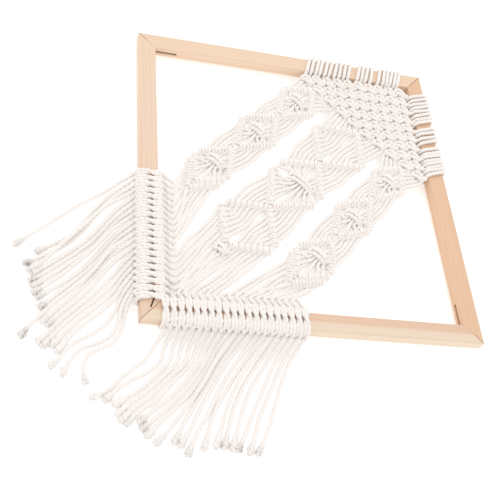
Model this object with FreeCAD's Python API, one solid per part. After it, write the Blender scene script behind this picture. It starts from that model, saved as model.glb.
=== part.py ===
"""Knotted cord wall hanging on a square frame of four mitred wooden bars.

The frame hangs by one corner, as a diamond. Frame of reference: X to the right and Y up as it hangs, Z out
of its front face. The origin is under the middle of the frame, on the plane that the back of the cord wraps
rests on. All sizes are in millimetres.
"""
import FreeCAD, Part
import math
import os

V = FreeCAD.Vector

# Frame of four bars
SIDE = 300.0                 # outer side of the square
BAR_W = 16.5                 # bar width, across its front face
BAR_T = 10.5                 # bar thickness, front to back
EDGE_R = 0.8                 # rounding of the bars' long edges
TONGUE_Z = (3.5, 7.0)        # layer of the bridle joints, from the bar's back
KEY_SLOT = (22.0, 6.0, 2.6)  # length, depth and height of a key slot beside a corner
SPLIT = (12.5, 1.5, 2.5)     # length, width and depth of the split near the bottom corner
SPLIT_START = (22.0, 12.0)   # from the corner, and from the bar's outer side, to the split's farther end
SPLIT_SLANT = 19.0

# Cord and its wraps round the bars
CORD_D = 4.0
FLOOR = 0.0
BAR_BACK = FLOOR + CORD_D    # the wraps behind the bars hold them up
# Lark's heads on each upper bar: distance from the top corner to the first and the last wrap of each group,
# and the number of heads in it
HEADS_LEFT = ((24.0, 50.0, 3), (55.0, 74.0, 2), (79.0, 129.0, 5))
HEADS_RIGHT = ((27.0, 65.0, 4), (69.0, 90.0, 2), (95.0, 127.0, 4))
HITCH_COUNT = 20             # hitches on each lower bar
HITCH_FIRST = 19.5           # from the bottom corner to the first hitch, along the bar
HITCH_PITCH = 6.14
HITCH_GAP = 0.4

# Knotted body, lying on the floor plane
BODY_T = 9.0
STRAND_T = 4.5
HALF_DIAGONAL = SIDE / math.sqrt(2)
WRAP_INSIDE = (BAR_W + CORD_D) * math.sqrt(2)     # along Y, from the outer corner to the wraps' inner faces
YOKE_TOP_HALF = 9.0
YOKE_HALF = 80.0
YOKE_BOTTOM = 101.0
LEFT_PANEL_TOP = ((-80.0, YOKE_BOTTOM), (-35.0, YOKE_BOTTOM))
LEFT_PANEL_INNER = ((-42.5, 70.0), (-42.0, 10.0), (-46.0, -55.0))
LEFT_PANEL_TIP = (-62.0, -94.0)
LEFT_PANEL_OUTER = ((-84.0, -55.0), (-85.0, 0.0), (-80.0, 70.0))
RIGHT_PANEL_TOP = ((35.0, YOKE_BOTTOM), (76.0, YOKE_BOTTOM))
RIGHT_PANEL_OUTER = ((73.5, 75.0), (77.5, 0.0), (80.0, -55.0))
RIGHT_PANEL_TIP = (59.0, -94.0)
RIGHT_PANEL_INNER = ((40.0, -55.0), (37.5, 0.0), (38.5, 75.0))
MIDDLE_PANEL_TOP = ((-33.0, YOKE_BOTTOM), (31.0, YOKE_BOTTOM))
MIDDLE_PANEL_RIGHT = ((30.0, 60.0), (25.0, 0.0), (31.0, -75.0))
MIDDLE_PANEL_TIP = (-1.5, -110.0)
MIDDLE_PANEL_LEFT = ((-33.0, -80.0), (-28.0, 0.0), (-33.0, 55.0))
STRAND_SPLIT = 67.2          # along a lower bar: the outer panel's strands meet the middle panel's here

# Fringe: where each strand's centre line runs, from the lower edge of its hitch to its end. Strand 1 is at
# the bottom corner. Two numbers are x and y, with the strand lying on the floor; a third is its height.
LYING = 2.2
FRINGE_LEFT = [
    [(-19.5, -200, 10), (-16, -211, 3.4), (-6, -221.5), (-1, -236), (-4.5, -248), (-8, -258.5),
     (-2.5, -270), (9, -275.5)],
    [(-23.5, -196, 10), (-21.5, -207.5, 4.8), (-13.5, -219.5, 3.2), (-6.5, -232), (-9, -246), (-15.5, -259),
     (-13, -272.5), (-8.5, -285)],
    [(-28, -191.5, 10), (-26.5, -203, 3.2), (-20.5, -215.5), (-16, -231), (-18, -247), (-22.5, -262),
     (-20, -275), (-19.5, -287)],
    [(-32, -187.5, 10), (-31.5, -198.5, 4.8), (-27, -212, 3), (-26.5, -228), (-28, -245), (-27.5, -261),
     (-24.5, -275.5)],
    [(-36.5, -183, 10), (-36.5, -194.5, 3), (-32, -208.5), (-32, -227), (-33, -246), (-32, -262),
     (-30.5, -275.5)],
    [(-40.5, -179, 10), (-41, -190, 3), (-37.5, -204), (-36.5, -224), (-38, -243), (-37, -263),
     (-35, -281)],
    [(-45, -174.5, 10), (-45.5, -186.5, 3), (-43, -201), (-41, -221), (-42, -242), (-41.5, -262),
     (-39.5, -281.5)],
    [(-49, -170.5, 10), (-51.5, -182, 3), (-51, -196), (-46.5, -215), (-46, -234), (-46.5, -251),
     (-45.5, -267)],
    [(-53.5, -166, 10), (-57, -178, 3), (-56.5, -193), (-52, -212), (-50.5, -233), (-51, -251),
     (-49.5, -268)],
    [(-57.5, -162, 10), (-60.5, -173, 6), (-60.5, -187, 6.2), (-55.5, -206, 6.6), (-55, -225, 4.5),
     (-56, -245), (-55, -267), (-51.5, -288)],
    [(-62, -157.5, 10), (-65, -169, 3), (-62.5, -184), (-59, -203), (-59, -222), (-60, -243), (-60, -262)],
    [(-66, -153.5, 10), (-69, -165, 3), (-67.5, -180), (-63.5, -201), (-63, -223), (-65, -241),
     (-67.5, -257.5)],
    [(-70.5, -149, 10), (-73, -160.5, 6), (-72.5, -176, 6.2), (-69.5, -197, 6.4), (-69, -219, 5),
     (-70, -239), (-73, -257)],
    [(-74.5, -145, 10), (-77.5, -156.5, 3), (-75.5, -172), (-71, -193), (-72.5, -214), (-74.5, -234),
     (-77, -253.5)],
    [(-79, -140.5, 10), (-81.5, -152, 3), (-80, -168), (-75.5, -190), (-77, -212), (-79, -233),
     (-81.5, -252)],
    [(-83, -136.5, 10), (-86, -148, 3), (-84.5, -164), (-80, -188), (-81, -211), (-83, -231),
     (-85, -246.5)],
    [(-87.5, -132, 10), (-91, -144, 6), (-93, -160, 6.2), (-91, -181, 6.4), (-89.5, -203, 6.4),
     (-88, -219, 6.8), (-87, -234, 3), (-89.5, -247)],
    [(-91.5, -128, 10), (-94.5, -139, 3), (-95.5, -153), (-92, -173), (-87, -193), (-88, -213),
     (-92, -230), (-96, -245.5)],
    [(-96, -123.5, 10), (-99, -135.5, 3), (-100, -150), (-96.5, -171), (-91.5, -192), (-93, -212),
     (-98.5, -231)],
    [(-100, -119.5, 10), (-104, -131.5, 3), (-105, -150), (-109, -172), (-110, -195), (-112, -218),
     (-113, -240)],
]
FRINGE_RIGHT = [
    [(19.5, -200, 10), (19.5, -212, 3.4), (24.5, -225), (23, -241), (22, -256), (22.5, -269),
     (17.5, -281)],
    [(23.5, -196, 10), (24.5, -207, 3), (33.5, -218), (33, -233), (28.5, -247), (26, -261),
     (26.5, -275)],
    [(28, -191.5, 10), (29.5, -202.5, 3), (38.5, -213.5), (38, -231), (38.5, -247), (35, -260),
     (33, -272.5)],
    [(32, -187.5, 10), (34, -198, 3), (43, -209), (42.5, -228), (43, -246), (39.5, -262), (40, -276)],
    [(36.5, -183, 10), (39, -193.5, 3), (47.5, -206), (46.5, -226), (48, -245), (44, -262), (45, -277)],
    [(40.5, -179, 10), (44, -190, 3), (51, -204), (51, -224), (53, -244), (48.5, -261), (50, -276)],
    [(45, -174.5, 10), (48, -186, 3), (55, -201.5), (57, -220), (57.5, -239), (55.5, -254),
     (55, -267.5)],
    [(49, -170.5, 10), (51.5, -181.5, 3), (57.5, -195), (61.5, -216), (62, -236), (61.5, -254),
     (59.5, -270)],
    [(53.5, -166, 10), (55, -177.5, 3), (61.5, -194), (66, -214), (66.5, -236), (66, -254),
     (66.5, -271.5)],
    [(57.5, -162, 10), (59.5, -173.5, 6), (62, -188, 6.2), (67.5, -208, 6.4), (71, -229, 4), (74, -250),
     (75, -270)],
    [(62, -157.5, 10), (63, -169.5, 3), (65.5, -186), (70, -207), (75.5, -228), (79, -245), (83.5, -260)],
    [(66, -153.5, 10), (67, -165, 3), (69.5, -183), (74.5, -205), (80, -226), (85.5, -243), (88.5, -258)],
    [(70.5, -149, 10), (72.5, -161, 3), (74.5, -179), (79, -201), (86, -221), (90.5, -241), (97, -258.5)],
    [(74.5, -145, 10), (77, -157, 3), (79, -175), (83.5, -197), (88, -217), (95.5, -233), (103, -246.5)],
    [(79, -140.5, 10), (81, -152, 6), (82, -168, 6.2), (86, -189, 6.4), (92.5, -208, 5), (101, -224),
     (107.5, -238)],
    [(83, -136.5, 10), (85, -148.5, 3), (87, -167), (91.5, -190), (98.5, -208), (106.5, -222),
     (112.5, -234.5)],
    [(87.5, -132, 10), (89.5, -144, 3), (92, -162), (96, -184), (104, -203), (112, -218), (117.5, -230.5)],
    [(91.5, -128, 10), (94, -140, 3), (97, -157), (104.5, -178), (110, -197), (117, -214), (121.5, -228)],
    [(96, -123.5, 10), (98, -136, 3), (101.5, -152), (109.5, -175), (116, -196), (124.5, -212),
     (128.5, -223)],
    [(100, -119.5, 10), (102, -132, 3), (106, -149), (115, -171), (124.5, -191), (130.5, -206),
     (133.5, -219)],
]

# Corners of the diamond, and each bar's place: its start corner and the direction of its length. The bar's
# inner side is to the left of that direction.
TOP, BOTTOM = (0.0, HALF_DIAGONAL), (0.0, -HALF_DIAGONAL)
LEFT, RIGHT = (-HALF_DIAGONAL, 0.0), (HALF_DIAGONAL, 0.0)
BAR_PLACES = {
    "bar_upper_left": (TOP, 225.0),
    "bar_upper_right": (RIGHT, 135.0),
    "bar_lower_left": (LEFT, -45.0),
    "bar_lower_right": (BOTTOM, 45.0),
}


def box(x, y, z):
    """A box between the low and high ends of x, y and z."""
    return Part.makeBox(x[1] - x[0], y[1] - y[0], z[1] - z[0], V(x[0], y[0], z[0]))


def prism(outline, low, high):
    """A solid with a flat outline of (x, y) corners, between two heights."""
    corners = [V(x, y, low) for x, y in outline]
    face = Part.Face(Part.makePolygon(corners + corners[:1]))
    return face.extrude(V(0, 0, high - low))


def in_place(shape, bar):
    """Moves a shape from a bar's own frame, length along X and back at z = 0, to the bar's place."""
    (x, y), angle = BAR_PLACES[bar]
    moved = shape.copy()
    moved.rotate(V(0, 0, 0), V(0, 0, 1), angle)
    moved.translate(V(x, y, BAR_BACK))
    return moved


def long_edges(blank):
    """The bar's four edges that run along its whole length."""
    least = SIDE - 2 * BAR_W - 1.0
    return [edge for edge in blank.Edges if edge.Length > least]


def make_bar(start, end, key_slot=None, split=False):
    """A mitred bar, with a tongue or a slot of the bridle joint at each end."""
    bar = prism([(0, 0), (SIDE, 0), (SIDE - BAR_W, BAR_W), (BAR_W, BAR_W)], 0, BAR_T)
    bar = bar.makeFillet(EDGE_R, long_edges(bar))
    low, high = TONGUE_Z
    neighbour = {"start": [(0, 0), (BAR_W, BAR_W), (0, BAR_W)],
                 "end": [(SIDE, 0), (SIDE, BAR_W), (SIDE - BAR_W, BAR_W)]}
    own = {"start": [(0, 0), (BAR_W, 0), (BAR_W, BAR_W)],
           "end": [(SIDE, 0), (SIDE - BAR_W, BAR_W), (SIDE - BAR_W, 0)]}
    for place, joint in (("start", start), ("end", end)):
        if joint == "tongue":
            bar = bar.fuse(prism(neighbour[place], low, high))
        else:
            bar = bar.cut(prism(own[place], low, high))
    if key_slot:
        length, depth, height = KEY_SLOT
        begin = BAR_W if key_slot == "start" else SIDE - BAR_W - length
        bar = bar.cut(box((begin, begin + length), (BAR_W - depth, BAR_W), (low, low + height)))
    if split:
        length, width, depth = SPLIT
        begin, inward = SIDE - SPLIT_START[0], SPLIT_START[1]
        slit = box((begin, begin + length), (inward - width / 2, inward + width / 2), (BAR_T - depth, BAR_T))
        slit.rotate(V(begin, inward, 0), V(0, 0, 1), -SPLIT_SLANT)
        bar = bar.cut(slit)
    return bar.removeSplitter()


def wrap_ring(along, width):
    """Cord wrapped round a bar: a square ring, in the bar's own frame, as wide as its turns."""
    span = (along - width / 2, along + width / 2)
    outside = box(span, (-CORD_D, BAR_W + CORD_D), (-CORD_D, BAR_T + CORD_D))
    return outside.cut(box(span, (0, BAR_W), (0, BAR_T)))


def heads(groups, bar, from_end):
    """The lark's heads on one upper bar, each two turns wide."""
    rings = []
    for first, last, count in groups:
        share = (last - first) / count
        for index in range(count):
            along = first + share * (index + 0.5)
            ring = wrap_ring(SIDE - along if from_end else along, min(2 * CORD_D, share - 0.3))
            rings.append(in_place(ring, bar))
    return Part.makeCompound(rings)


def hitches(bar, from_end):
    """The row of hitches on one lower bar. Those next to the corner meet the other bar's on the diagonal."""
    reach = BAR_W + CORD_D + 1.0
    past_diagonal = [(0, 0), (reach, reach), (0, reach)]
    if from_end:
        past_diagonal = [(SIDE - along, inward) for along, inward in past_diagonal]
    other_side = prism(past_diagonal, -CORD_D, BAR_T + CORD_D)
    rings = []
    for index in range(HITCH_COUNT):
        along = HITCH_FIRST + HITCH_PITCH * index
        ring = wrap_ring(SIDE - along if from_end else along, HITCH_PITCH - HITCH_GAP)
        if along - HITCH_PITCH / 2 < reach:
            ring = ring.cut(other_side)
        rings.append(in_place(ring, bar))
    return Part.makeCompound(rings)


def on_wraps(x, upper):
    """The point at x on the line of the wraps' inner faces, on an upper or a lower bar."""
    y = HALF_DIAGONAL - WRAP_INSIDE - abs(x)
    return (x, y if upper else -y)


def along_lower_bar(distance, side):
    """The point on the wraps' inner faces at this distance along a lower bar from the bottom corner."""
    return on_wraps(side * (distance - BAR_W - CORD_D) / math.sqrt(2), upper=False)


def fringe_tube(route, name):
    """A strand as a tube: straight runs joined by arcs, each 0.45 of its shorter run."""
    points = [V(*point) if len(point) == 3 else V(point[0], point[1], LYING) for point in route]
    edges, radii, start = [], [], points[0]
    for before, corner, after in zip(points, points[1:], points[2:]):
        into, out = (corner - before).normalize(), (after - corner).normalize()
        half_turn = into.getAngle(out) / 2
        reach = 0.45 * min((corner - before).Length, (after - corner).Length)
        arc_start, arc_end = corner - into * reach, corner + out * reach
        radius = reach / math.tan(half_turn)
        towards_centre = (out - into).normalize()
        middle = corner + towards_centre * (radius / math.cos(half_turn) - radius)
        edges.append(Part.LineSegment(start, arc_start).toShape())
        edges.append(Part.Arc(arc_start, middle, arc_end).toShape())
        radii.append(radius)
        start = arc_end
    edges.append(Part.LineSegment(start, points[-1]).toShape())
    path = Part.Wire(edges)
    ring = Part.Wire(Part.makeCircle(CORD_D / 2, points[0], points[1] - points[0]))
    tube = path.makePipeShell([ring], True, False)
    expected = math.pi * (CORD_D / 2) ** 2 * path.Length
    print(f"{name}: length {path.Length:.1f}, smallest radius {min(radii):.1f}, "
          f"volume {tube.Volume / expected:.4f} of section times length")
    return tube


def build():
    """Every sub-part by name."""
    parts = {
        "bar_upper_left": make_bar("tongue", "slot", key_slot="end"),
        "bar_upper_right": make_bar("slot", "slot", key_slot="start"),
        "bar_lower_left": make_bar("tongue", "tongue", split=True),
        "bar_lower_right": make_bar("slot", "tongue"),
    }
    parts = {name: in_place(shape, name) for name, shape in parts.items()}
    parts["larks_heads_left"] = heads(HEADS_LEFT, "bar_upper_left", from_end=False)
    parts["larks_heads_right"] = heads(HEADS_RIGHT, "bar_upper_right", from_end=True)
    parts["hitches_left"] = hitches("bar_lower_left", from_end=True)
    parts["hitches_right"] = hitches("bar_lower_right", from_end=False)

    body_top = FLOOR + BODY_T
    yoke = [on_wraps(-YOKE_TOP_HALF, True), on_wraps(YOKE_TOP_HALF, True), on_wraps(YOKE_HALF, True),
            (YOKE_HALF, YOKE_BOTTOM), (-YOKE_HALF, YOKE_BOTTOM), on_wraps(-YOKE_HALF, True)]
    parts["yoke"] = prism(yoke, FLOOR, body_top)
    left = [*LEFT_PANEL_TOP, *LEFT_PANEL_INNER, LEFT_PANEL_TIP, *LEFT_PANEL_OUTER]
    right = [*RIGHT_PANEL_TOP, *RIGHT_PANEL_OUTER, RIGHT_PANEL_TIP, *RIGHT_PANEL_INNER]
    middle = [*MIDDLE_PANEL_TOP, *MIDDLE_PANEL_RIGHT, MIDDLE_PANEL_TIP, *MIDDLE_PANEL_LEFT]
    parts["panel_left"] = prism(left, FLOOR, body_top)
    parts["panel_right"] = prism(right, FLOOR, body_top)
    parts["panel_middle"] = prism(middle, FLOOR, body_top)

    strand_top = FLOOR + STRAND_T
    last = HITCH_FIRST + HITCH_PITCH * (HITCH_COUNT - 1)
    left = [LEFT_PANEL_OUTER[0], LEFT_PANEL_TIP, LEFT_PANEL_INNER[-1],
            along_lower_bar(STRAND_SPLIT, -1), along_lower_bar(last, -1)]
    right = [RIGHT_PANEL_INNER[0], RIGHT_PANEL_TIP, RIGHT_PANEL_OUTER[-1],
             along_lower_bar(last, 1), along_lower_bar(STRAND_SPLIT, 1)]
    middle = [MIDDLE_PANEL_LEFT[0], MIDDLE_PANEL_TIP, MIDDLE_PANEL_RIGHT[-1],
              along_lower_bar(STRAND_SPLIT, 1), on_wraps(0.0, False), along_lower_bar(STRAND_SPLIT, -1)]
    parts["strands_left"] = prism(left, FLOOR, strand_top)
    parts["strands_right"] = prism(right, FLOOR, strand_top)
    parts["strands_middle"] = prism(middle, FLOOR, strand_top)

    for side, routes in (("left", FRINGE_LEFT), ("right", FRINGE_RIGHT)):
        for number, route in enumerate(routes, start=1):
            name = f"fringe_{side}_{number:02d}"
            parts[name] = fringe_tube(route, name)
    return parts


os.makedirs("parts", exist_ok=True)
for node, shape in build().items():
    shape.exportStep(f"parts/{node}.step")
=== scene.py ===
"""A knotted cord wall hanging on a square pine frame, lying flat with its front up.

The hanging is laid here strand by strand, the way it is knotted: twenty cords are folded over the two upper
bars, which gives forty strands. The strands go down through a yoke of square knots, three panels of diagonal
hitches and a stretch that hangs free, are hitched round the two lower bars, and end as a fringe.
Lengths in the laying code are millimetres. X is to the right, Y up as it hangs, Z out of its front face.
"""
import math

import bpy
import numpy as np
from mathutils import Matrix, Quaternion, Vector


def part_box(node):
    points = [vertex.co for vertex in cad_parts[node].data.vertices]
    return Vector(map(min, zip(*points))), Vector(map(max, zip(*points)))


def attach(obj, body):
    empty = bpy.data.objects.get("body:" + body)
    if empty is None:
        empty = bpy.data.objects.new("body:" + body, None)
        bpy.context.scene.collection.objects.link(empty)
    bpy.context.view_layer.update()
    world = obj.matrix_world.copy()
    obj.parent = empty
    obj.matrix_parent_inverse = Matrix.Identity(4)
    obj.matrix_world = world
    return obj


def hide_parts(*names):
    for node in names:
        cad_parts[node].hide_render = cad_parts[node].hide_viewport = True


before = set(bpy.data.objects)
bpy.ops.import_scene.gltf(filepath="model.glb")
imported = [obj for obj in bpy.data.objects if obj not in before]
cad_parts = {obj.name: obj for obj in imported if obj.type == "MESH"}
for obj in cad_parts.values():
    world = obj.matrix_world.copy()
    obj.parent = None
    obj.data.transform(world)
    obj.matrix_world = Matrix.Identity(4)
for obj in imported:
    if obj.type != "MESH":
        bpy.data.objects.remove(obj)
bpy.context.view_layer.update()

MM = 0.001
rng = np.random.default_rng(12)

# ---------------------------------------------------------------- sizes, from the frame
HALF_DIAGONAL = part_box("bar_upper_left")[1].y / MM
BAR_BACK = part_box("bar_upper_left")[0].z / MM
BAR_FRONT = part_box("bar_upper_left")[1].z / MM
SIDE = HALF_DIAGONAL * math.sqrt(2)
BAR_W = 16.5
CORD = 4.0                        # the cord's diameter
LIE = CORD / 2                    # height of the centre of a cord that lies on the floor
FRONT = BAR_FRONT + CORD / 2      # height of a wrap's centre in front of a bar
BACK = BAR_BACK - CORD / 2        # and behind it
# Girth of a cord as a share of its full one: hitched, leading, turning, round an upper bar, knotted, slack
TIGHT = 0.84
SNUG = 0.92
FIRM = 0.95
WRAPPED = 0.97
KNOTTED = 1.02
FULL = 1.08
TWIST = 12.5                      # length of one full turn of the cord's three plies
# Points round one ply: their angles, and their distances from the cord's line as shares of its radius
PLY_ANGLES = (0.0, 0.42, math.pi / 3, 2 * math.pi / 3 - 0.42)
PLY_RADII = (1.0, 0.93, 0.78, 0.93)
RING_STEP = 1.0                   # along the cord, between rings of the mesh

# Frayed ends: how long they are, and the loose yarns in each
FRAY_LENGTH = (9, 14)
YARNS = 15
YARN_SIDES = 5
YARN_RADII = (1.0, 0.85)          # at the start of the fray, and near its end
YARN_REACH = 3.3                  # furthest that a yarn stands from the cord's line
YARN_LIE = 0.8                    # lowest that a yarn's centre lies
YARN_SHORT = 3.5                  # most that a yarn is shorter than the cord
ANY_TURN = 6.28                   # a cord's plies start at any angle up to this

# Lark's heads: distance from the top corner to the first and last wrap of each group, and the heads in it
HEADS = {-1: ((24.0, 50.0, 3), (55.0, 74.0, 2), (79.0, 129.0, 5)),
         1: ((27.0, 65.0, 4), (69.0, 90.0, 2), (95.0, 127.0, 4))}
HEAD_LEAN = 5.0                   # how far a wrap slants along the bar, over the bar's width
# Hitches: distance from the bottom corner to the first on each lower bar, and from each one to the next
HITCH_FIRST, HITCH_PITCH = 19.5, 6.14

COLUMNS = 40                      # strands, counted from the left
SIDE_COLUMNS = 12                 # of them in each side panel
ROW_PITCH = 8.0                   # between the yoke's rows, and half the width of a square knot
YOKE_TOP = 174.6                  # y of the top knot's middle
KNOT_MIDDLE = 4.7                 # height of the middle of a square knot that lies on the floor
YOKE_ROWS = 10

# The knotted body: how far the upper bars lift it, and the distance from them at which it reaches the floor
LIFT = 7.0
LIFT_REACH = 100.0
LIFT_CURVE = 1.3

# Panels: the levels of each side diamond, being the top, low edge, high edge, tip and gathering knot
SIDE_LEVELS = ((97, 74, 72, 45, 72), (41, 15, 12, -17, 12.5), (-22, -49, -55, -79, -47))
# Where hitches stand along a diagonal: the first one and the spare room, as shares of the space between two
HITCH_START, HITCH_SPARE = 0.9, 0.15
# Each panel's centre line and half width, as (y, value), from the top down
LEFT_LINE = ((97, -60), (70, -61.5), (5, -63.5), (-55, -65), (-90, -62))
LEFT_HALF = ((97, 20), (70, 19.5), (5, 21), (-55, 19.5), (-90, 19))
RIGHT_LINE = ((97, 56), (70, 56), (0, 57.5), (-55, 60), (-90, 59))
RIGHT_HALF = ((97, 19), (70, 17.5), (0, 20), (-55, 20), (-90, 19))
MIDDLE_LINE = ((97, 0), (60, -1.5), (0, -1.5), (-75, -1), (-110, -1.5))
MIDDLE_HALF = ((97, 31), (65, 31), (30, 28.5), (3, 26.5), (-40, 28.5), (-75, 31.5), (-110, 31))

# Fringe: the route of each strand from its hitch to its end, with strand 1 at the bottom corner.
# Two numbers are x and y of a point on the floor; a third is its height.
FRINGE_LIE = 2.2
FRINGE = {
    "left": [
        [(-19.5, -200, 10), (-16, -211, 3.4), (-6, -221.5), (-1, -236), (-4.5, -248), (-8, -258.5),
         (-2.5, -270), (9, -275.5)],
        [(-23.5, -196, 10), (-21.5, -207.5, 4.8), (-13.5, -219.5, 3.2), (-6.5, -232), (-9, -246),
         (-15.5, -259), (-13, -272.5), (-8.5, -285)],
        [(-28, -191.5, 10), (-26.5, -203, 3.2), (-20.5, -215.5), (-16, -231), (-18, -247), (-22.5, -262),
         (-20, -275), (-19.5, -287)],
        [(-32, -187.5, 10), (-31.5, -198.5, 4.8), (-27, -212, 3), (-26.5, -228), (-28, -245), (-27.5, -261),
         (-24.5, -275.5)],
        [(-36.5, -183, 10), (-36.5, -194.5, 3), (-32, -208.5), (-32, -227), (-33, -246), (-32, -262),
         (-30.5, -275.5)],
        [(-40.5, -179, 10), (-41, -190, 3), (-37.5, -204), (-36.5, -224), (-38, -243), (-37, -263),
         (-35, -281)],
        [(-45, -174.5, 10), (-45.5, -186.5, 3), (-43, -201), (-41, -221), (-42, -242), (-41.5, -262),
         (-39.5, -281.5)],
        [(-49, -170.5, 10), (-51.5, -182, 3), (-51, -196), (-46.5, -215), (-46, -234), (-46.5, -251),
         (-45.5, -267)],
        [(-53.5, -166, 10), (-57, -178, 3), (-56.5, -193), (-52, -212), (-50.5, -233), (-51, -251),
         (-49.5, -268)],
        [(-57.5, -162, 10), (-60.5, -173, 6), (-60.5, -187, 6.2), (-55.5, -206, 6.6), (-55, -225, 4.5),
         (-56, -245), (-55, -267), (-51.5, -288)],
        [(-62, -157.5, 10), (-65, -169, 3), (-62.5, -184), (-59, -203), (-59, -222), (-60, -243),
         (-60, -262)],
        [(-66, -153.5, 10), (-69, -165, 3), (-67.5, -180), (-63.5, -201), (-63, -223), (-65, -241),
         (-67.5, -257.5)],
        [(-70.5, -149, 10), (-73, -160.5, 6), (-72.5, -176, 6.2), (-69.5, -197, 6.4), (-69, -219, 5),
         (-70, -239), (-73, -257)],
        [(-74.5, -145, 10), (-77.5, -156.5, 3), (-75.5, -172), (-71, -193), (-72.5, -214), (-74.5, -234),
         (-77, -253.5)],
        [(-79, -140.5, 10), (-81.5, -152, 3), (-80, -168), (-75.5, -190), (-77, -212), (-79, -233),
         (-81.5, -252)],
        [(-83, -136.5, 10), (-86, -148, 3), (-84.5, -164), (-80, -188), (-81, -211), (-83, -231),
         (-85, -246.5)],
        [(-87.5, -132, 10), (-91, -144, 6), (-93, -160, 6.2), (-91, -181, 6.4), (-89.5, -203, 6.4),
         (-88, -219, 6.8), (-87, -234, 3), (-89.5, -247)],
        [(-91.5, -128, 10), (-94.5, -139, 3), (-95.5, -153), (-92, -173), (-87, -193), (-88, -213),
         (-92, -230), (-96, -245.5)],
        [(-96, -123.5, 10), (-99, -135.5, 3), (-100, -150), (-96.5, -171), (-91.5, -192), (-93, -212),
         (-98.5, -231)],
        [(-100, -119.5, 10), (-104, -131.5, 3), (-105, -150), (-109, -172), (-110, -195), (-112, -218),
         (-113, -240)],
    ],
    "right": [
        [(19.5, -200, 10), (19.5, -212, 3.4), (24.5, -225), (23, -241), (22, -256), (22.5, -269),
         (17.5, -281)],
        [(23.5, -196, 10), (24.5, -207, 3), (33.5, -218), (33, -233), (28.5, -247), (26, -261),
         (26.5, -275)],
        [(28, -191.5, 10), (29.5, -202.5, 3), (38.5, -213.5), (38, -231), (38.5, -247), (35, -260),
         (33, -272.5)],
        [(32, -187.5, 10), (34, -198, 3), (43, -209), (42.5, -228), (43, -246), (39.5, -262), (40, -276)],
        [(36.5, -183, 10), (39, -193.5, 3), (47.5, -206), (46.5, -226), (48, -245), (44, -262),
         (45, -277)],
        [(40.5, -179, 10), (44, -190, 3), (51, -204), (51, -224), (53, -244), (48.5, -261), (50, -276)],
        [(45, -174.5, 10), (48, -186, 3), (55, -201.5), (57, -220), (57.5, -239), (55.5, -254),
         (55, -267.5)],
        [(49, -170.5, 10), (51.5, -181.5, 3), (57.5, -195), (61.5, -216), (62, -236), (61.5, -254),
         (59.5, -270)],
        [(53.5, -166, 10), (55, -177.5, 3), (61.5, -194), (66, -214), (66.5, -236), (66, -254),
         (66.5, -271.5)],
        [(57.5, -162, 10), (59.5, -173.5, 6), (62, -188, 6.2), (67.5, -208, 6.4), (71, -229, 4),
         (74, -250), (75, -270)],
        [(62, -157.5, 10), (63, -169.5, 3), (65.5, -186), (70, -207), (75.5, -228), (79, -245),
         (83.5, -260)],
        [(66, -153.5, 10), (67, -165, 3), (69.5, -183), (74.5, -205), (80, -226), (85.5, -243),
         (88.5, -258)],
        [(70.5, -149, 10), (72.5, -161, 3), (74.5, -179), (79, -201), (86, -221), (90.5, -241),
         (97, -258.5)],
        [(74.5, -145, 10), (77, -157, 3), (79, -175), (83.5, -197), (88, -217), (95.5, -233),
         (103, -246.5)],
        [(79, -140.5, 10), (81, -152, 6), (82, -168, 6.2), (86, -189, 6.4), (92.5, -208, 5), (101, -224),
         (107.5, -238)],
        [(83, -136.5, 10), (85, -148.5, 3), (87, -167), (91.5, -190), (98.5, -208), (106.5, -222),
         (112.5, -234.5)],
        [(87.5, -132, 10), (89.5, -144, 3), (92, -162), (96, -184), (104, -203), (112, -218),
         (117.5, -230.5)],
        [(91.5, -128, 10), (94, -140, 3), (97, -157), (104.5, -178), (110, -197), (117, -214),
         (121.5, -228)],
        [(96, -123.5, 10), (98, -136, 3), (101.5, -152), (109.5, -175), (116, -196), (124.5, -212),
         (128.5, -223)],
        [(100, -119.5, 10), (102, -132, 3), (106, -149), (115, -171), (124.5, -191), (130.5, -206),
         (133.5, -219)],
    ],
}


# ---------------------------------------------------------------- shader building
class Wire:
    """A value in a material. Ordinary operators on it add Math nodes."""

    def __init__(self, finish, socket):
        self.finish, self.socket = finish, socket

    def maths(self, operation, *operands):
        return self.finish.node("Math", {"operation": operation}, dict(enumerate(operands)))

    def __add__(self, other):
        return self.maths("ADD", self, other)

    def __radd__(self, other):
        return self.maths("ADD", other, self)

    def __sub__(self, other):
        return self.maths("SUBTRACT", self, other)

    def __rsub__(self, other):
        return self.maths("SUBTRACT", other, self)

    def __mul__(self, other):
        return self.maths("MULTIPLY", self, other)

    def __rmul__(self, other):
        return self.maths("MULTIPLY", other, self)

    def __truediv__(self, other):
        return self.maths("DIVIDE", self, other)

    def __pow__(self, other):
        return self.maths("POWER", self, other)

    def size(self):
        return self.maths("ABSOLUTE", self)


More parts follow.
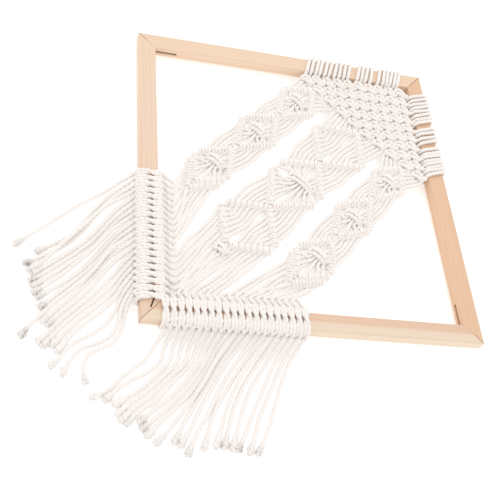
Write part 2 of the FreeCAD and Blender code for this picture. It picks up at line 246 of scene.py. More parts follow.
class Finish:
    """A material under construction."""

    def __init__(self, name):
        self.material = bpy.data.materials.new(name)
        self.material.use_nodes = True
        self.tree = self.material.node_tree
        self.tree.nodes.clear()

    def node(self, kind, settings=None, sockets=None, output=0):
        """Adds a node and gives one of its outputs. Sockets are named, or counted among those in use."""
        made = self.tree.nodes.new("ShaderNode" + kind)
        for name, value in (settings or {}).items():
            if name == "stops":
                self.set_stops(made.color_ramp, value)
            else:
                setattr(made, name, value)
        for name, value in (sockets or {}).items():
            inputs = [socket for socket in made.inputs if socket.enabled]
            socket = inputs[name] if isinstance(name, int) else next(s for s in inputs if s.name == name)
            if isinstance(value, Wire):
                self.tree.links.new(value.socket, socket)
            else:
                socket.default_value = value
        outputs = [socket for socket in made.outputs if socket.enabled]
        if not outputs:
            return None
        return Wire(self, outputs[output] if isinstance(output, int) else made.outputs[output])

    @staticmethod
    def set_stops(ramp, stops):
        while len(ramp.elements) < len(stops):
            ramp.elements.new(1.0)
        for element, (position, value) in zip(ramp.elements, stops):
            element.position = position
            element.color = (value, value, value, 1.0)

    def ramp(self, value, *stops):
        return self.node("ValToRGB", {"stops": stops}, {"Fac": value})

    def blend(self, factor, first, second):
        """Mixes two colours."""
        return self.node("Mix", {"data_type": "RGBA", "blend_type": "MIX"},
                         {"Factor": factor, "A": first, "B": second})

    def noise(self, vector, scale, detail=3.0, roughness=0.55):
        return self.node("TexNoise", {}, {"Vector": vector, "Scale": scale, "Detail": detail,
                                          "Roughness": roughness})

    def along(self, vector, direction):
        """How far a point is along a direction."""
        return self.node("VectorMath", {"operation": "DOT_PRODUCT"}, {0: vector, 1: direction}, "Value")

    def point(self, x, y, z):
        return self.node("CombineXYZ", {}, {0: x, 1: y, 2: z})

    def surface(self, sockets):
        shader = self.node("BsdfPrincipled", {}, sockets)
        self.node("OutputMaterial", {}, {"Surface": shader})
        return self.material

    def bump(self, height, strength, distance):
        return self.node("Bump", {}, {"Strength": strength, "Distance": distance, "Height": height}, "Normal")


def tint(red, green, blue):
    """A display colour, 0 to 255, as the linear colour that shaders use."""
    shares = [channel / 255 for channel in (red, green, blue)]
    return tuple(c / 12.92 if c <= 0.04045 else ((c + 0.055) / 1.055) ** 2.4 for c in shares) + (1.0,)


def cotton():
    """Soft cotton cord: plies with painted shade darkening the grooves between them, and fine fibres along
    the cord.
    """
    finish = Finish("cotton_cord")
    lay = finish.node("Attribute", {"attribute_name": "cord_lay"}, {}, "Vector")
    shade = finish.node("Attribute", {"attribute_name": "cord_shade"}, {}, "Vector")
    groove = finish.along(shade, (1, 0, 0))
    strand = finish.along(shade, (0, 1, 0))
    length = finish.along(lay, (0, 0, 1))
    around = finish.node("VectorMath", {"operation": "MULTIPLY"}, {0: lay, 1: (1, 1, 0)}, "Vector")
    fibre_place = finish.node("VectorMath", {"operation": "ADD"},
                              {0: around, 1: finish.point(strand * 37.0, 0.0, length * 0.12)}, "Vector")
    fibres = finish.noise(fibre_place, 9.0, 4.0, 0.7)
    patches = finish.noise(finish.point(strand * 91.0, length * 0.045, groove * 0.2), 1.0, 2.0)
    patchy = finish.ramp(patches, (0.3, 0.0), (0.7, 1.0))
    clean = finish.blend(patchy, tint(250, 245, 242), tint(248, 241, 235))
    # Painted shade: the grooves between the plies are painted darker
    colour = finish.blend(groove ** 1.5 * 0.6, clean, tint(240, 227, 216))
    colour = finish.blend(finish.ramp(fibres, (0.35, 0.0), (0.75, 0.5)), colour, tint(244, 236, 230))
    bump = finish.bump(fibres - groove * 0.4, 0.4, 0.3 * MM)
    return finish.surface({"Base Color": colour, "Roughness": 0.72 + 0.2 * fibres, "Normal": bump,
                           "Specular IOR Level": 0.2})


def pine(name, corner, angle, early, late, mitres, sap=None, sap_width=0.0):
    """Planed pine for one bar, with its grain along the bar: pale and darker growth lines, and a paler strip
    of sapwood along the outer side where there is one. corner is where the bar starts, and angle is where it
    points. mitres has a pair for each end: how far the joint's dark line reaches from the outer corner, as a
    share of the bar's width, and the line's half width in millimetres."""
    finish = Finish("pine_" + name)
    place = finish.node("TexCoord", {}, {}, "Object")
    place = finish.node("VectorMath", {"operation": "SUBTRACT"}, {0: place, 1: corner}, "Vector")
    run = finish.along(place, (math.cos(angle), math.sin(angle), 0))
    across = finish.along(place, (-math.sin(angle), math.cos(angle), 0))
    depth = finish.along(place, (0, 0, 1))
    drift = finish.noise(finish.point(run * 6.0, across * 30.0, depth * 30.0), 1.0, 2.0)
    ring_place = finish.point(run * 3.0, (across + drift * 0.004) * 520.0, depth * 260.0)
    rings = finish.noise(ring_place, 1.0, 3.0, 0.5)
    pores = finish.noise(finish.point(run * 90.0, across * 2600.0, depth * 2600.0), 1.0, 2.0, 0.6)
    lines = finish.ramp(rings, (0.42, 0.0), (0.62, 1.0))
    colour = finish.blend(lines * 0.55, early, late)
    colour = finish.blend(finish.ramp(drift, (0.35, 0.0), (0.65, 0.3)), colour, late)
    if sap:
        edge = finish.ramp((across + drift * 0.002) / sap_width, (0.9, 1.0), (1.0, 0.0))
        colour = finish.blend(edge, colour, finish.blend(lines * 0.35, sap, early))
    colour = finish.blend(finish.ramp(pores, (0.55, 0.0), (0.8, 0.22)), colour, tint(205, 150, 105))
    for from_end, (reach, width) in ((run, mitres[0]), (SIDE * MM - run, mitres[1])):
        off_joint = (from_end - across).size()
        open_here = finish.ramp(across / (BAR_W * MM), (max(reach - 0.25, 0.0), 1.0), (reach, 0.0))
        line = finish.ramp(off_joint / (width * MM), (0.55, 1.0), (1.0, 0.0)) * (0.25 + 0.75 * open_here)
        colour = finish.blend(line, colour, tint(112, 58, 26))
    # Painted shade: the floors and walls of the split and of the joints, inside the bar, are painted dark
    within = finish.ramp(across / (BAR_W * MM), (0.08, 0.0), (0.12, 1.0), (0.88, 1.0), (0.92, 0.0))
    below = finish.ramp(depth / (BAR_FRONT * MM), (0.33, 0.0), (0.4, 1.0), (0.93, 1.0), (0.98, 0.0))
    from_ends = finish.ramp(run / (SIDE * MM), (0.002, 0.0), (0.005, 1.0), (0.995, 1.0), (0.998, 0.0))
    colour = finish.blend(within * below * from_ends * 0.9, colour, tint(88, 40, 16))
    bump = finish.bump(rings * 0.5 + pores, 0.25, 0.12 * MM)
    return finish.surface({"Base Color": colour, "Roughness": 0.5 + 0.2 * pores, "Normal": bump,
                           "Specular IOR Level": 0.35})


# ---------------------------------------------------------------- cord
class Weave:
    """The mesh of one piece of cordwork, gathered ring by ring."""

    def __init__(self):
        self.points, self.faces, self.lay, self.shade, self.count = [], [], [], [], 0

    def add(self, rings, lay, shade):
        """Adds a closed tube: rings is (ring, point round it, xyz)."""
        length, around = rings.shape[:2]
        index = np.arange(length * around).reshape(length, around) + self.count
        quads = np.stack([index[:-1], np.roll(index, -1, 1)[:-1], np.roll(index, -1, 1)[1:], index[1:]], -1)
        self.faces += quads.reshape(-1, 4).tolist()
        for ring, last in ((0, False), (-1, True)):
            centre = self.count + length * around + int(last)
            ends = index[ring], np.roll(index[ring], -1)
            pairs = zip(*(ends if last else ends[::-1]))
            self.faces += [[int(a), int(b), centre] for a, b in pairs]
        middle = rings[[0, -1]].mean(1)
        self.points.append(np.concatenate([rings.reshape(-1, 3), middle]))
        for store, values in ((self.lay, lay), (self.shade, shade)):
            store.append(np.concatenate([values.reshape(-1, 3), values[[0, -1]].mean(1)]))
        self.count += length * around + 2

    def make(self, name, material):
        mesh = bpy.data.meshes.new(name)
        mesh.from_pydata((np.concatenate(self.points) * MM).tolist(), [], self.faces)
        for label, store in (("cord_lay", self.lay), ("cord_shade", self.shade)):
            layer = mesh.attributes.new(label, "FLOAT_VECTOR", "POINT")
            layer.data.foreach_set("vector", np.concatenate(store).astype(np.float32).ravel())
        mesh.shade_smooth()
        mesh.materials.append(material)
        piece = bpy.data.objects.new(name, mesh)
        bpy.context.scene.collection.objects.link(piece)
        return piece


def smooth_line(points, girths, zones):
    """A smooth line through the points, at even steps, with the girth and the zone at each step."""
    points = np.array(points, float)
    padded = np.vstack([2 * points[0] - points[1], points, 2 * points[-1] - points[-2]])
    places, girth, zone = [], [], []
    for number in range(len(points) - 1):
        p0, p1, p2, p3 = padded[number:number + 4]
        t1, t2, t3 = np.cumsum([max(np.linalg.norm(b - a), 1e-3) ** 0.5
                                for a, b in ((p0, p1), (p1, p2), (p2, p3))])
        share = np.linspace(0, 1, 9)[:-1, None]
        t = t1 + share * (t2 - t1)
        a1, a2, a3 = (p0 * (t1 - t) + p1 * t) / t1, (p1 * (t2 - t) + p2 * (t - t1)) / (t2 - t1), \
            (p2 * (t3 - t) + p3 * (t - t2)) / (t3 - t2)
        b1, b2 = (a1 * (t2 - t) + a2 * t) / t2, (a2 * (t3 - t) + a3 * (t - t1)) / (t3 - t1)
        places.append((b1 * (t2 - t) + b2 * (t - t1)) / (t2 - t1))
        girth.append(girths[number] + (girths[number + 1] - girths[number]) * share[:, 0])
        zone += [zones[number + 1]] * 8
    places = np.vstack([*places, points[-1:]])
    girth = np.concatenate([*girth, girths[-1:]])
    zone.append(zones[-1])
    reach = np.concatenate([[0], np.cumsum(np.linalg.norm(np.diff(places, axis=0), axis=1))])
    even = np.linspace(0, reach[-1], max(2, round(reach[-1] / RING_STEP) + 1))
    line = np.stack([np.interp(even, reach, places[:, axis]) for axis in range(3)], 1)
    picked = np.clip(np.searchsorted(reach, even), 0, len(zone) - 1)
    return line, np.interp(even, reach, girth), [zone[i] for i in picked], even


def carried_frames(line):
    """The line's direction, and two directions square to it that are carried along without twisting."""
    ahead = np.gradient(line, axis=0)
    ahead /= np.linalg.norm(ahead, axis=1)[:, None]
    side = np.empty_like(line)
    guess = np.array([0, 0, 1.0]) if abs(ahead[0][2]) < 0.9 else np.array([1.0, 0, 0])
    for number, direction in enumerate(ahead):
        guess = guess - direction * guess.dot(direction)
        guess /= np.linalg.norm(guess)
        side[number] = guess
    return ahead, side, np.cross(ahead, side)


def ply_rings(line, girth, reach, phase, strand):
    """Rings of three-ply cord along a line, with what the finish needs to know at each point."""
    _, side, over = carried_frames(line)
    base = np.array([ply * 2 * math.pi / 3 + angle for ply in range(3) for angle in PLY_ANGLES])
    radius = np.tile(PLY_RADII, 3) * CORD / 2
    angle = base[None] + (2 * math.pi * reach / TWIST + phase)[:, None]
    spread = radius[None] * girth[:, None]
    rings = line[:, None] + (side[:, None] * np.cos(angle)[..., None]
                             + over[:, None] * np.sin(angle)[..., None]) * spread[..., None]
    lay = np.stack([np.cos(angle), np.sin(angle), np.broadcast_to(reach[:, None], angle.shape)], -1)
    groove = np.tile((1 - np.array(PLY_RADII)) / (1 - min(PLY_RADII)), 3)
    shade = np.stack([np.broadcast_to(groove, angle.shape), np.full(angle.shape, strand),
                      np.zeros(angle.shape)], -1)
    return rings, lay, shade


def lift(x, y):
    """How far the upper bars hold the knotted body off the floor."""
    from_bar = (HALF_DIAGONAL - abs(x) - y) / math.sqrt(2) - BAR_W - CORD
    return LIFT * min(1.0, max(0.0, 1 - from_bar / LIFT_REACH)) ** LIFT_CURVE


class Strand:
    """One strand of the hanging, laid from the top down."""

    def __init__(self, number):
        self.number = number
        self.points, self.girths, self.zones = [], [], []

    def lay(self, zone, points, girth=1.0):
        lifted = zone == "yoke" or zone.startswith("panel")
        for x, y, z in points:
            self.points.append((x, y, z + lift(x, y) if lifted else z))
            self.girths.append(girth)
            self.zones.append(zone)

    def weave_into(self, weaves):
        """Adds the strand to the pieces that its zones belong to."""
        line, girth, zone, reach = smooth_line(self.points, np.array(self.girths), self.zones)
        rings, lay, shade = ply_rings(line, girth, reach, rng.uniform(0, ANY_TURN), self.number / COLUMNS)
        cuts = [0] + [i for i in range(1, len(zone)) if zone[i] != zone[i - 1]] + [len(zone)]
        for start, end in zip(cuts, cuts[1:]):
            stop = min(end + 1, len(zone))
            if stop - start > 1:
                weaves[zone[start]].add(rings[start:stop], lay[start:stop], shade[start:stop])


def on_bar(side, upper, along, inward, height):
    """A point by how far it is along a bar from the top or bottom corner, and inward from the outer side."""
    across = side * (along - inward) / math.sqrt(2)
    level = HALF_DIAGONAL - (along + inward) / math.sqrt(2)
    return (across, level if upper else -level, height)


def head_places(side):
    """Distances along an upper bar of the two wraps of each lark's head, the one nearer the corner first."""
    places = []
    for first, last, count in HEADS[side]:
        share = (last - first) / count
        for index in range(count):
            middle = first + share * (index + 0.5)
            gap = 2.1 + rng.uniform(0.0, 0.35)
            places.append((middle - gap + rng.uniform(-0.3, 0.3), middle + gap + rng.uniform(-0.3, 0.3)))
    return places


def lark_wrap(strand, side, place, other):
    """Half of a lark's head: from the middle of its back loop, once round the bar, and under the loop."""
    zone = "larks_heads_left" if side < 0 else "larks_heads_right"
    lean = HEAD_LEAN + rng.uniform(-0.8, 0.8)

    def at(inward, height, slide=0.0):
        return on_bar(side, True, place + lean * (inward / BAR_W - 0.5) + slide, inward, height)

    middle = (place + other) / 2 + lean * 0.6
    away = math.copysign(1.2, place - other)
    inside, half = BAR_W + 2.0, (FRONT + BACK) / 2
    strand.lay(zone, [
        on_bar(side, True, middle, inside + 4.0, half - 1.5), at(inside + 3.0, half - 1.0, away * 0.2),
        at(inside + 0.8, half + 1.5, away * 0.1), at(inside, FRONT - 2.8), at(BAR_W - 0.4, FRONT - 0.1),
        at(BAR_W * 0.75, FRONT), at(BAR_W * 0.5, FRONT), at(BAR_W * 0.25, FRONT), at(0.4, FRONT - 0.1),
        at(-1.9, FRONT - 2.6), at(-2.0, half), at(-1.9, BACK + 2.6), at(0.4, BACK + 0.1, 0.6),
        at(BAR_W * 0.25, BACK, 0.9), at(BAR_W * 0.5, BACK, 0.6), at(BAR_W * 0.75, BACK),
        at(BAR_W, BACK + 0.2, -0.4), at(BAR_W + 3.6, 3.4, -0.8)], WRAPPED)


# A square knot: where each of its four strands goes, measured from the knot's middle in all three directions
SQUARE_KNOT = (
    ((-6, 4, 0), (-4.6, 2.7, 2.0), (-1.5, 2.0, 3.3), (2.2, 1.4, 3.1), (5.0, 0.5, 1.4), (5.4, -0.9, 1.0),
     (2.4, -1.9, 3.1), (-1.6, -2.5, 3.3), (-4.8, -3.1, 1.6), (-6, -4, 0)),
    ((-2, 4, 0), (-1.8, 0, 0), (-2, -4, 0)),
    ((2, 4, 0), (1.8, 0, 0), (2, -4, 0)),
    ((6, 4, 0), (6.3, 1.9, 2.7), (4.6, 0.3, -0.6), (2, 0.4, -2.5), (-2, 0.4, -2.5), (-5.1, 0.7, -0.4),
     (-6.5, -0.3, 2.2), (-5.3, -1.6, 0.2), (-2, -1.6, -2.5), (2, -1.8, -2.5), (5.1, -2.3, 0.6), (6, -4, 0)),
)


def yoke(strands):
    """Rows of square knots, each row two strands wider on both sides than the one above."""
    for row in range(YOKE_ROWS):
        first = COLUMNS // 2 - 2 - 2 * row
        y = YOKE_TOP - ROW_PITCH * row
        for knot in range(row + 1):
            x = (2 * knot - row) * ROW_PITCH
            dx, dy = rng.uniform(-0.4, 0.4, 2)
            for role, shape in enumerate(SQUARE_KNOT):
                column = first + 4 * knot + role
                points = [(x + a + dx, y + b + dy, KNOT_MIDDLE + c) for a, b, c in shape]
                strands[column].lay("yoke", points, KNOTTED)


def hitch_points(spot, travel):
    """A double half hitch round a leading strand at spot, which travels that way. The hitched strand comes
    from above and leaves below."""
    travel = np.array(travel) / np.linalg.norm(travel)
    above = np.array([-travel[1], travel[0]])
    above = above if above[1] > 0 else -above
    turns = ((-1.9, 2.2, 6.3), (-1.7, 0.2, 7.3), (-1.3, -2.3, 5.4), (-0.5, -1.5, 2.9),
             (0.5, 1.3, 2.6), (1.1, 2.5, 4.7), (1.4, 1.6, 6.7), (1.7, -0.2, 7.4), (1.4, -2.3, 5.7))
    wraps = [(*(np.array(spot) + travel * a + above * b), height) for a, b, height in turns]
    x, y = spot
    return [(x - travel[0], y + 5.4, 4.8), *wraps, (x + travel[0] * 0.4, y - 5.2, 4.2)]


class Panel:
    """A strip of diamonds in diagonal hitches, worked on an even number of strands."""

    def __init__(self, name, columns, middle, half_width):
        half = len(columns) // 2
        self.name = name
        self.middle, self.half_width = middle, half_width
        self.left_leader, self.right_leader = columns[half - 1], columns[half]
        # Strands hitched over each leader, from the middle outward
        self.hitched = {-1: list(columns[:half - 1])[::-1], 1: list(columns[half + 1:])}

    def value(self, table, y):
        levels, values = zip(*table)
        return float(np.interp(-y, [-level for level in levels], values))

    def at(self, y, share):
        """The point at height y, with share -1 at the left edge, 0 at the middle and 1 at the right edge."""
        reach = self.value(self.half_width, y) - CORD / 2
        return np.array([self.value(self.middle, y) + share * reach, y])

    def row(self, strands, top, bottom, leaders, outward, raised=0.0):
        """Two diagonals of hitches. outward ones start together in the middle, and the others end there."""
        for side in (-1, 1):
            start = self.at(top, 0 if outward else side)
            end = self.at(bottom, side if outward else 0)
            travel = end - start
            leader = strands[leaders[side]]
            shares = np.linspace(0.02, 0.98, 7)
            leader.lay(self.name, [(*(start + travel * share), 5.0 + raised) for share in shares], SNUG)
            count = len(self.hitched[side])
            for index, column in enumerate(self.hitched[side]):
                share = (index + HITCH_START) / (count + HITCH_SPARE)
                share = share if outward else 1 - share
                points = [(x, y, z + raised) for x, y, z in hitch_points(start + travel * share, travel)]
                strands[column].lay(self.name, points[:1], FULL)
                strands[column].lay(self.name, points[1:-1], TIGHT)
                strands[column].lay(self.name, points[-1:], FULL)

    def crossing(self, strands, level):
        """The two leaders change sides in the middle."""
        x, y = self.at(level, 0)
        strands[self.left_leader].lay(self.name, [(x - 0.6, y + 0.8, 6.4), (x + 0.6, y - 0.8, 6.4)], SNUG)
        strands[self.right_leader].lay(self.name, [(x + 0.6, y + 0.8, 3.4), (x - 0.6, y - 0.8, 3.4)], SNUG)
        self.left_leader, self.right_leader = self.right_leader, self.left_leader

    def leaders(self):
        return {-1: self.left_leader, 1: self.right_leader}

    def turn_back(self, strands, top, bottom):
        """The leaders turn at the panel's edges, from one diagonal to the next."""
        for side, column in self.leaders().items():
            x, y = self.at((top + bottom) / 2, side)
            strands[column].lay(self.name, [(x - side * 0.3, y, 3.6)], FIRM)

    def spread(self, strands, level, inside):
        """The hitched strands between two rows: fanned to the panel's edges, or filling a diamond."""
        for side in (-1, 1):
            count = len(self.hitched[side])
            for index, column in enumerate(self.hitched[side]):
                filling = (index + 0.55) / count * 0.94
                fanned = (index + HITCH_START) / (count + HITCH_SPARE) * 1.08
                x, y = self.at(level, side * (filling if inside else fanned))
                height = 3.0 + rng.uniform(0, 0.8)
                place = (x + rng.uniform(-0.7, 0.7), y + rng.uniform(-1, 1), height)
                strands[column].lay(self.name, [place], FULL)

    def gather(self, strands, level, width, shift=0.0):
        """A large square knot that draws the strands of a diamond together."""
        x, y = self.at(level, 0) + np.array([shift, 0])
        fillers = self.hitched[-1][:-1][::-1] + self.hitched[1][:-1]
        across = len(fillers) // 2
        for index, column in enumerate(fillers):
            place = (index // 2 - (across - 1) / 2) * (width - 2.5) / across
            height = 4.6 if index % 2 else 7.4
            drawn, spread = x + place, x + place * 1.12
            strands[column].lay(self.name, [
                (spread, y + 6.5, height - 0.6), (drawn, y + 2.5, height),
                (drawn, y - 2.5, height), (spread, y - 6.5, height - 0.6)], TIGHT)
        w = width / 2
        strands[self.hitched[-1][-1]].lay(self.name, [
            (x - w - 3, y + 5.0, 5.0), (x - w - 0.4, y + 2.6, 7.6), (x - w * 0.5, y + 2.4, 10.0),
            (x, y + 2.1, 10.3), (x + w * 0.5, y + 1.9, 10.0), (x + w + 0.6, y + 1.0, 6.6),
            (x + w + 0.8, y - 0.6, 6.0), (x + w * 0.5, y - 1.9, 9.9), (x, y - 2.1, 10.3),
            (x - w * 0.5, y - 2.4, 9.9), (x - w - 0.6, y - 3.4, 6.6), (x - w - 3, y - 6.0, 4.0)], FIRM)
        strands[self.hitched[1][-1]].lay(self.name, [
            (x + w + 3.4, y + 5.0, 5.0), (x + w + 1.8, y + 2.6, 8.6), (x + w - 1, y + 1.2, 3.0),
            (x, y + 1.0, 1.9), (x - w + 1, y + 1.0, 3.0), (x - w - 1.8, y + 0.2, 7.4),
            (x - w - 0.2, y - 1.4, 4.0), (x, y - 1.6, 1.9), (x + w - 1, y - 2.0, 3.0),
            (x + w + 1.6, y - 3.0, 6.2), (x + w + 3.2, y - 6.0, 4.0)], FIRM)


def side_panel(strands, name, columns, middle, half_width):
    """A side panel: three diamonds, each gathered in its middle, and a doubled lower edge."""
    panel = Panel(name, columns, middle, half_width)
    for number, (top, low, high, tip, knot) in enumerate(SIDE_LEVELS):
        if number:
            middle_level = (SIDE_LEVELS[number - 1][3] + top) / 2
            panel.crossing(strands, middle_level)
            panel.spread(strands, middle_level, inside=False)
        panel.row(strands, top, low, panel.leaders(), outward=True)
        panel.turn_back(strands, low, high)
        panel.gather(strands, knot, 15.0)
        panel.row(strands, high, tip, panel.leaders(), outward=False)
    # The second row of the lower edge: the outermost strands lead, and the first leaders are hitched too
    second = {side: panel.hitched[side][-1] for side in (-1, 1)}
    for side, column in panel.leaders().items():
        panel.hitched[side] = [column] + panel.hitched[side][:-1]
    panel.row(strands, high - 7, tip - 9, second, outward=False, raised=-0.5)


def middle_panel(strands, columns):
    """The middle panel: an open diamond, a gathered one, an open one and a small square knot at its tip."""
    panel = Panel("panel_middle", columns, MIDDLE_LINE, MIDDLE_HALF)
    panel.row(strands, 97, 67, panel.leaders(), outward=True)
    panel.turn_back(strands, 67, 65)
    panel.spread(strands, 66, inside=True)
    panel.row(strands, 65, 37, panel.leaders(), outward=False)
    panel.crossing(strands, 35.5)
    panel.spread(strands, 35.5, inside=False)
    panel.row(strands, 34, 7, panel.leaders(), outward=True)
    panel.turn_back(strands, 7, -6)
    panel.gather(strands, 1.5, 23.0, shift=3.0)
    panel.row(strands, -7, -41, panel.leaders(), outward=False)
    panel.crossing(strands, -42.5)
    panel.spread(strands, -42.5, inside=False)
    panel.row(strands, -44, -68, panel.leaders(), outward=True)
    panel.turn_back(strands, -68, -77)
    panel.spread(strands, -73, inside=True)
    panel.row(strands, -77, -103, panel.leaders(), outward=False)
    x, y = panel.at(-110, 0)
    inner = (panel.hitched[-1][0], panel.left_leader, panel.right_leader, panel.hitched[1][0])
    for role, column in enumerate(inner):
        points = [(x + a * 0.9, y + b, KNOT_MIDDLE + c) for a, b, c in SQUARE_KNOT[role]]
        strands[column].lay(panel.name, points, SNUG)


def bar_hitch(strand, side, number, exit_point, onward):
    """A hitch round a lower bar: two turns that cross in the middle of its front."""
    zone = "hitches_left" if side < 0 else "hitches_right"
    middle = HITCH_FIRST + HITCH_PITCH * number + rng.uniform(-0.25, 0.25)

    def at(along, inward, height):
        return on_bar(side, False, middle + along, inward, height)

    inside, outside = BAR_W + 2.0, -2.0
    strand.lay(zone, [
        at(1.4, inside + 1.6, FRONT - 2.6), at(1.5, BAR_W, FRONT - 0.3), at(1.3, BAR_W * 0.76, FRONT),
        at(0.0, BAR_W * 0.5, FRONT), at(-1.3, BAR_W * 0.24, FRONT), at(-1.5, 0.2, FRONT - 0.1),
        at(-1.5, outside, FRONT - 2.6), at(-1.5, outside, BACK + 3.0), at(-1.4, 0.0, BACK + 0.2),
        at(-0.8, BAR_W * 0.3, BACK), at(0.4, BAR_W * 0.7, BACK), at(-1.2, BAR_W + 0.4, BACK + 0.3),
        at(-1.5, inside, BACK + 3.0), at(-1.5, inside, FRONT - 3.0), at(-1.5, BAR_W, FRONT - 0.1),
        at(-1.3, BAR_W * 0.76, FRONT + 0.5), at(0.0, BAR_W * 0.5, FRONT + 1.7),
        at(1.3, BAR_W * 0.24, FRONT + 0.6), at(1.5, 0.2, FRONT + 0.1), at(1.2, outside - 0.4, FRONT - 2.4)],
               FIRM)
    ahead = np.array(onward) - np.array(exit_point)
    ahead /= np.linalg.norm(ahead)
    before = np.array(exit_point) - ahead * 2.4 + np.array([0, 0, 0.6])
    strand.lay(zone, [tuple(before), exit_point], FIRM)


def route_points(side_name, number):
    return [point if len(point) == 3 else (*point, FRINGE_LIE) for point in FRINGE[side_name][number]]


def lay_hanging():
    """Lays all forty strands, and gives the pieces of the hanging as meshes."""
    strands = [Strand(column) for column in range(COLUMNS)]
    for side in (-1, 1):
        for head, (near, far) in enumerate(head_places(side)):
            inner = COLUMNS // 2 - 1 - 2 * head if side < 0 else COLUMNS // 2 + 2 * head
            lark_wrap(strands[inner], side, near, far)
            lark_wrap(strands[inner + side], side, far, near)
    yoke(strands)
    side_panel(strands, "panel_left", range(SIDE_COLUMNS), LEFT_LINE, LEFT_HALF)
    side_panel(strands, "panel_right", range(COLUMNS - SIDE_COLUMNS, COLUMNS), RIGHT_LINE, RIGHT_HALF)
    middle_panel(strands, range(SIDE_COLUMNS, COLUMNS - SIDE_COLUMNS))
    for column, strand in enumerate(strands):
        side = -1 if column < COLUMNS // 2 else 1
        number = COLUMNS // 2 - 1 - column if side < 0 else column - COLUMNS // 2
        zone = "strands_middle"
        if column < SIDE_COLUMNS:
            zone = "strands_left"
        elif column >= COLUMNS - SIDE_COLUMNS:
            zone = "strands_right"
        start = np.array(strand.points[-1])
        bar = np.array(on_bar(side, False, HITCH_FIRST + HITCH_PITCH * number + 1.2, BAR_W + 13.5, 5.0))
        span = bar - start
        points = []
        for share in (0.3, 0.65):
            spot = start + span * share
            points.append((spot[0] + rng.uniform(-1.3, 1.3), spot[1], LIE + 0.4 + rng.uniform(0, 0.5)))
        points.append(tuple(bar))
        points.append(on_bar(side, False, HITCH_FIRST + HITCH_PITCH * number + 1.3, BAR_W + 7.0, 9.5))
        strand.lay(zone, points, 1.0)
        route = route_points("left" if side < 0 else "right", number)
        bar_hitch(strand, side, number, route[0], route[1])
    names = ["larks_heads_left", "larks_heads_right", "yoke", "panel_left", "panel_middle", "panel_right",
             "strands_left", "strands_middle", "strands_right", "hitches_left", "hitches_right"]
    weaves = {name: Weave() for name in names}
    for strand in strands:
        strand.weave_into(weaves)
    return weaves


def add_yarn(weave, line, strand):
    """One loose yarn of a frayed end: a thin tapering tube, nearly closed at its tip."""
    _, side, over = carried_frames(line)
    angle = np.linspace(0, 2 * math.pi, YARN_SIDES + 1)[:-1][None]
    radius = np.linspace(*YARN_RADII, len(line))[:, None]
    radius[-1] *= 0.15
    rings = line[:, None] + (side[:, None] * np.cos(angle)[..., None]
                             + over[:, None] * np.sin(angle)[..., None]) * radius[..., None]
    ones = np.ones((len(line), YARN_SIDES))
    lay = np.stack([np.cos(angle) * ones, np.sin(angle) * ones, np.arange(len(line))[:, None] * ones], -1)
    shade = np.stack([0.0 * ones, strand * ones, ones], -1)
    weave.add(rings, lay, shade)


def fringe_strand(side_name, number, material):
    """A free strand of the fringe: three-ply cord along its own smooth line, with a frayed end."""
    name = f"fringe_{side_name}_{number + 1:02d}"
    route = route_points(side_name, number)
    curve = bpy.data.curves.new(name + "_line", "CURVE")
    curve.dimensions = "3D"
    curve.resolution_u = 24
    spline = curve.splines.new("NURBS")
    spline.points.add(len(route) - 1)
    for point, place in zip(spline.points, route):
        point.co = (*(np.array(place) * MM), 1.0)
    spline.order_u = 3
    spline.use_endpoint_u = True
    guide = bpy.data.objects.new(name + "_line", curve)
    sampled = bpy.data.meshes.new_from_object(guide)
    path = np.array([vertex.co for vertex in sampled.vertices]) / MM
    bpy.data.meshes.remove(sampled)
    bpy.data.objects.remove(guide)
    bpy.data.curves.remove(curve)
    reach = np.concatenate([[0], np.cumsum(np.linalg.norm(np.diff(path, axis=0), axis=1))])
    length = reach[-1]
    even = np.linspace(0, length, round(length / RING_STEP) + 1)
    line = np.stack([np.interp(even, reach, path[:, axis]) for axis in range(3)], 1)

    fray = rng.uniform(*FRAY_LENGTH)
    body = even <= length - fray * 0.55
    girth = np.clip(0.95 + even / 60, 0, 1.0) - 0.55 * np.clip((even - (length - fray)) / (fray * 0.45), 0, 1)
    weave = Weave()
    tone = rng.uniform()
    weave.add(*ply_rings(line[body], girth[body], even[body], rng.uniform(0, ANY_TURN), tone))
    _, across, over = carried_frames(line)
    for yarn in range(YARNS):
        turn = 2 * math.pi * (yarn / YARNS) + rng.uniform(-0.2, 0.2)
        depth = 0.35 + 0.35 * (yarn % 3) / 2
        spread = rng.uniform(1.6, 3.4)
        # Every fourth yarn is as long as the cord
        stop = length - (yarn % 4 and rng.uniform(0, YARN_SHORT))
        inside = (even >= length - fray) & (even <= stop)
        if inside.sum() < 4:
            continue
        share = (even[inside] - (length - fray)) / fray
        out = np.minimum(CORD / 2 * depth * (1 + (spread - 1) * share ** 1.3), YARN_REACH)
        angle = turn + 2 * math.pi * even[inside] / TWIST * (1 - 0.5 * share)
        yarn_line = line[inside] + across[inside] * (np.cos(angle) * out)[:, None] \
            + over[inside] * (np.sin(angle) * out)[:, None]
        yarn_line[:, 2] = np.maximum(yarn_line[:, 2], YARN_LIE)
        add_yarn(weave, yarn_line, tone)
    piece = weave.make(name + "_cord", material)
    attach(piece, "root")
    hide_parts(name)


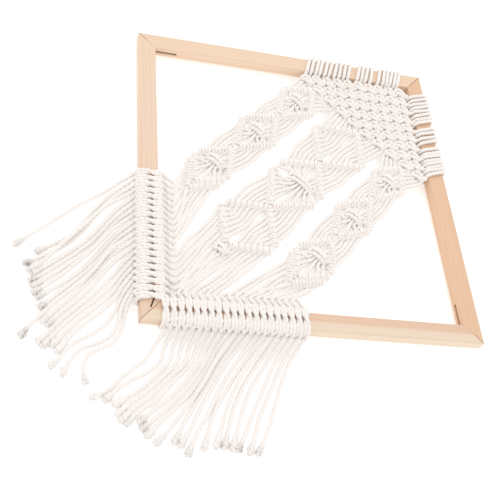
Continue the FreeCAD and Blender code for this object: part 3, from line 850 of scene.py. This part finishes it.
# ---------------------------------------------------------------- the frame's bars
def finish_bars():
    """Each bar is cut from a different board."""
    corner = HALF_DIAGONAL * MM
    top, bottom, left, right = (0, corner, 0), (0, -corner, 0), (-corner, 0, 0), (corner, 0, 0)
    finishes = {
        "bar_upper_left": pine(
            "upper_left", top, math.radians(225), tint(228, 196, 166), tint(219, 181, 147),
            ((1.0, 0.55), (0.62, 0.6))),
        "bar_upper_right": pine(
            "upper_right", right, math.radians(135), tint(220, 178, 142), tint(209, 161, 123),
            ((0.62, 0.7), (1.0, 0.55))),
        "bar_lower_left": pine(
            "lower_left", left, math.radians(-45), tint(226, 195, 168), tint(216, 177, 145),
            ((0.62, 0.6), (1.0, 0.5))),
        "bar_lower_right": pine(
            "lower_right", bottom, math.radians(45), tint(220, 182, 154), tint(210, 165, 134),
            ((1.0, 0.5), (0.62, 0.5)), tint(224, 201, 174), 10.0 * MM),
    }
    for node, material in finishes.items():
        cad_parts[node].material_slots[0].material = material


# ---------------------------------------------------------------- studio
def studio():
    """A plain white floor in soft light."""
    finish = Finish("floor_white")
    grain = finish.noise(finish.node("TexCoord", {}, {}, "Object"), 40.0, 2.0)
    colour = finish.blend(grain, (0.93, 0.93, 0.93, 1), (0.95, 0.95, 0.95, 1))
    white = finish.surface({"Base Color": colour, "Roughness": 1.0, "Specular IOR Level": 0.0,
                            "Emission Color": (1.0, 1.0, 1.0, 1), "Emission Strength": 0.35})
    mesh = bpy.data.meshes.new("floor")
    half = 6.0
    corners = [(-half, -half, 0), (half, -half, 0), (half, half, 0), (-half, half, 0)]
    mesh.from_pydata(corners, [], [[0, 1, 2, 3]])
    mesh.materials.append(white)
    floor = bpy.data.objects.new("floor", mesh)
    bpy.context.scene.collection.objects.link(floor)
    world = bpy.data.worlds.new("studio")
    bpy.context.scene.world = world
    world.use_nodes = True
    world.node_tree.nodes["Background"].inputs["Color"].default_value = (1.0, 1.0, 1.0, 1)
    world.node_tree.nodes["Background"].inputs["Strength"].default_value = 0.95
    lamps = (("key", (-1.1, 0.9, 1.7), 1.2, 12.0), ("fill", (1.4, -1.0, 1.5), 1.6, 4.0))
    for name, place, size, power in lamps:
        light = bpy.data.lights.new(name, "AREA")
        light.size, light.energy = size, power
        lamp = bpy.data.objects.new(name, light)
        lamp.location = place
        lamp.rotation_euler = (-Vector(place)).to_track_quat("-Z", "Y").to_euler()
        bpy.context.scene.collection.objects.link(lamp)
    bpy.context.scene.view_settings.view_transform = "Standard"
    bpy.context.scene.view_settings.gamma = 1.25


def camera():
    """Looks from beyond the hanging's lower end, turned so that it lies aslant. The lens is shifted."""
    view = bpy.data.cameras.new("camera")
    view.lens, view.shift_x, view.shift_y = 60.37, 0.1, -0.1
    view.clip_start = 0.01
    eye = bpy.data.objects.new("camera", view)
    eye.location = (0.1047, -0.4950, 0.5908)
    target = Vector((-0.0452, -0.0907, 0.0100))
    turn = (target - eye.location).to_track_quat("-Z", "Y") @ Quaternion((0, 0, 1), math.radians(26.64))
    eye.rotation_mode = "QUATERNION"
    eye.rotation_quaternion = turn
    bpy.context.scene.collection.objects.link(eye)
    bpy.context.scene.camera = eye


studio()
camera()
finish_bars()
cotton_cord = cotton()
for node, weave in lay_hanging().items():
    piece = weave.make(node + "_cord", cotton_cord)
    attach(piece, "root")
    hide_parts(node)
for side_name, routes in FRINGE.items():
    for number in range(len(routes)):
        fringe_strand(side_name, number, cotton_cord)
